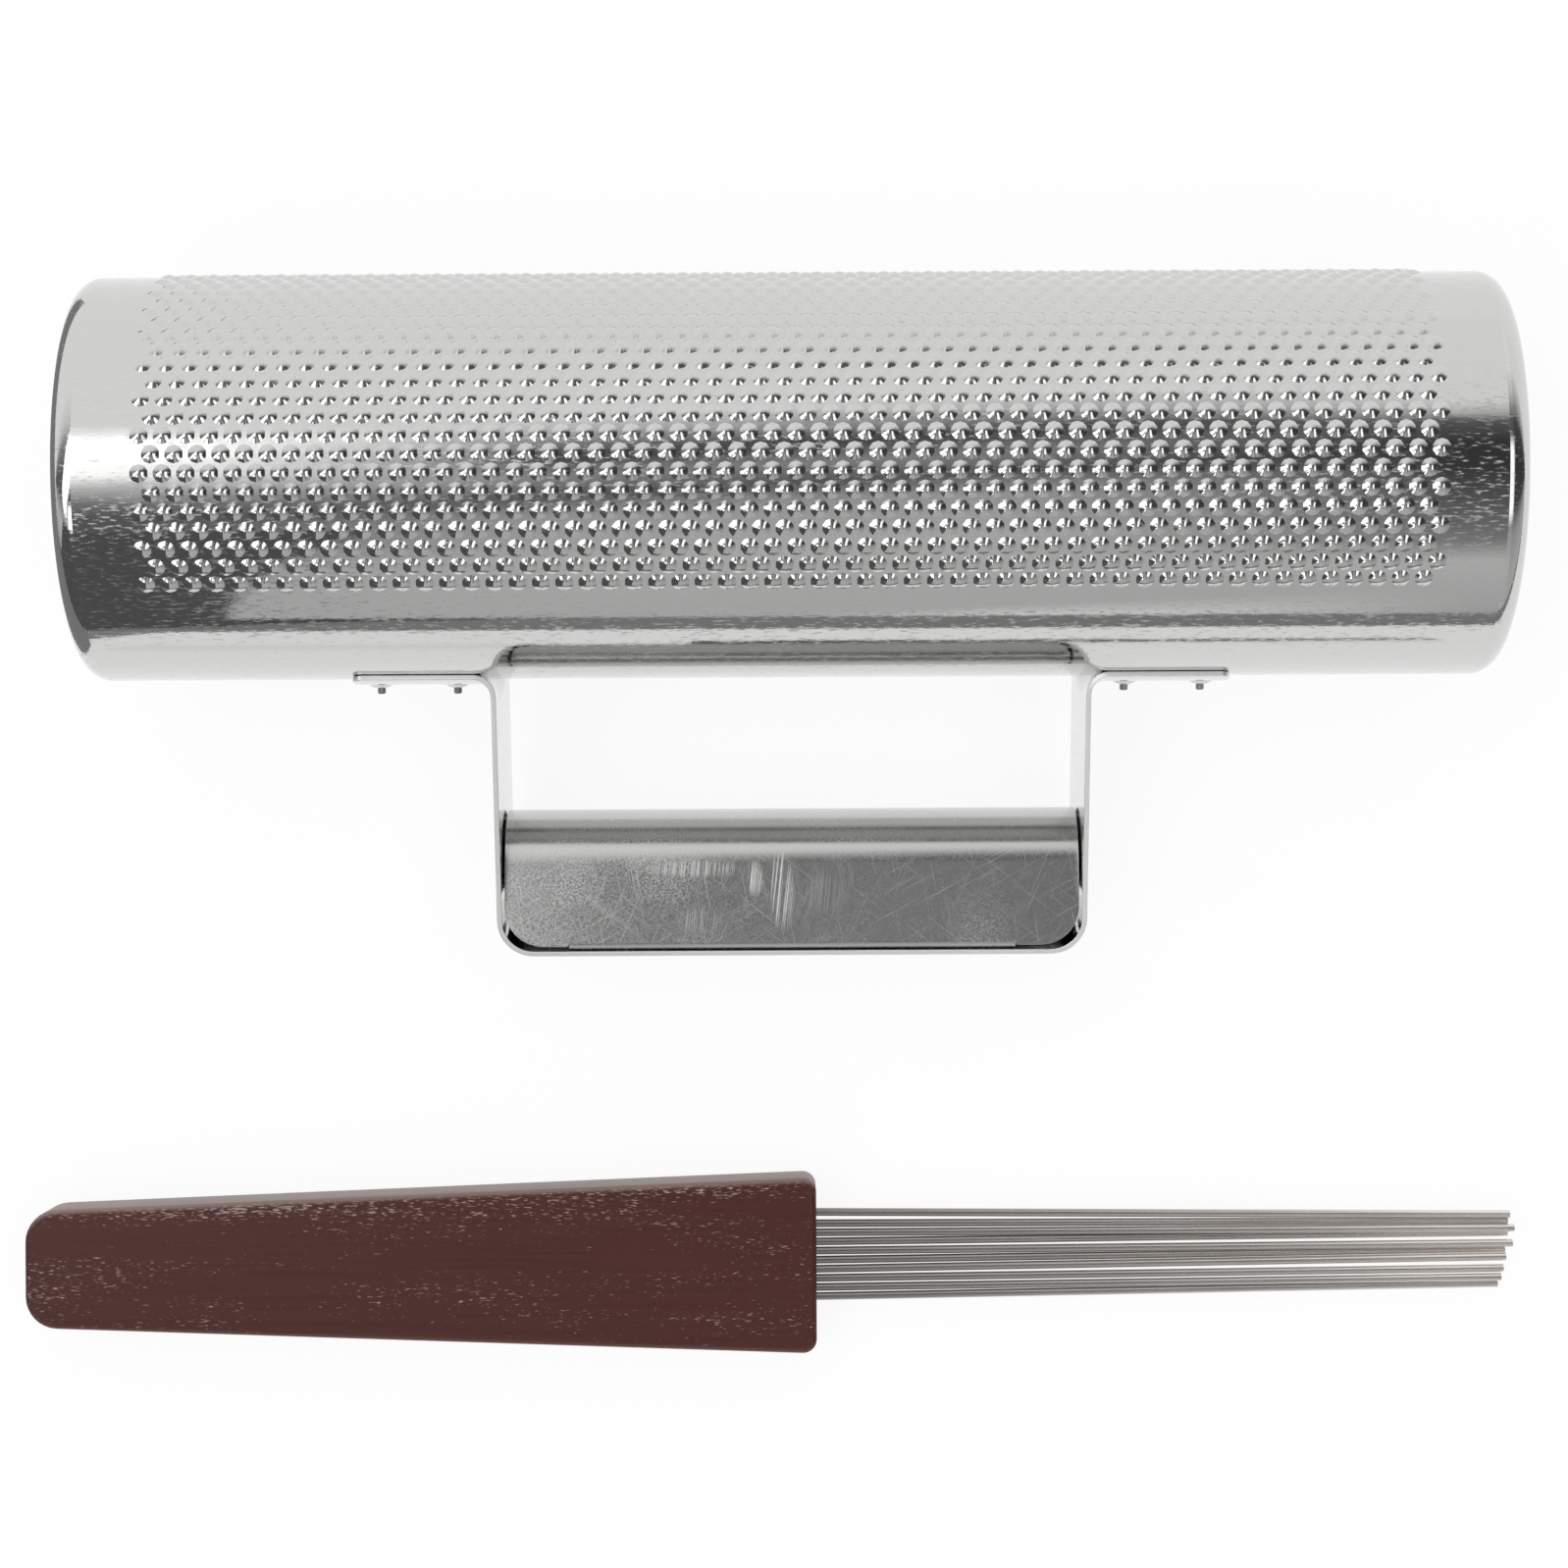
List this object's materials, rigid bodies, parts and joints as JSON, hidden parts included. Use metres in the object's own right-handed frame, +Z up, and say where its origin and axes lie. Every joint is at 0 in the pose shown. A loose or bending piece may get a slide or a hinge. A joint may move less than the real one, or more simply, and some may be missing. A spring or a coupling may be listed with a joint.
{
  "type": "metal guiro",
  "caption": "Metal guiro: closed steel tube embossed with rows of dots, riveted strap handle with a hood grip, and a wooden scraper with a row of steel wires.",
  "frame": {"origin": "on the table, under the middle of the guiro and its scraper together", "axes": "+X along the tube and the scraper, +Z up, the handle towards -Y"},
  "size_m": [0.3336, 0.2366, 0.0875],
  "materials": {
    "tube_steel": "polished, with fine streaks along the tube",
    "cap_steel": "polished",
    "strap_steel": "polished",
    "grip_steel": "polished, scuffed",
    "rivet_aluminium": "satin",
    "mandrel_steel": "dull, broken off",
    "painted_wood": "dark brown paint over open grain, worn at the edges",
    "wire_steel": "drawn wire"
  },
  "bodies": {
    "guiro": {"embossed_shell": "tube_steel", "left_end_cap": "cap_steel", "right_end_cap": "cap_steel", "handle_strap": "strap_steel", "grip_cover": "grip_steel", "rivet_bodies": "rivet_aluminium", "rivet_mandrels": "mandrel_steel"},
    "scraper": {"scraper_handle": "painted_wood", "wire_01": "wire_steel", "wire_02": "wire_steel", "wire_03": "wire_steel", "wire_04": "wire_steel", "wire_05": "wire_steel", "wire_06": "wire_steel", "wire_07": "wire_steel", "wire_08": "wire_steel", "wire_09": "wire_steel", "wire_10": "wire_steel"}
  },
  "joints": [
    {"name": "scraper_lift", "type": "slide", "parent": "guiro", "child": "scraper", "axis": [0, 0, 1], "range_m": [0, 0.15]}
  ]
}
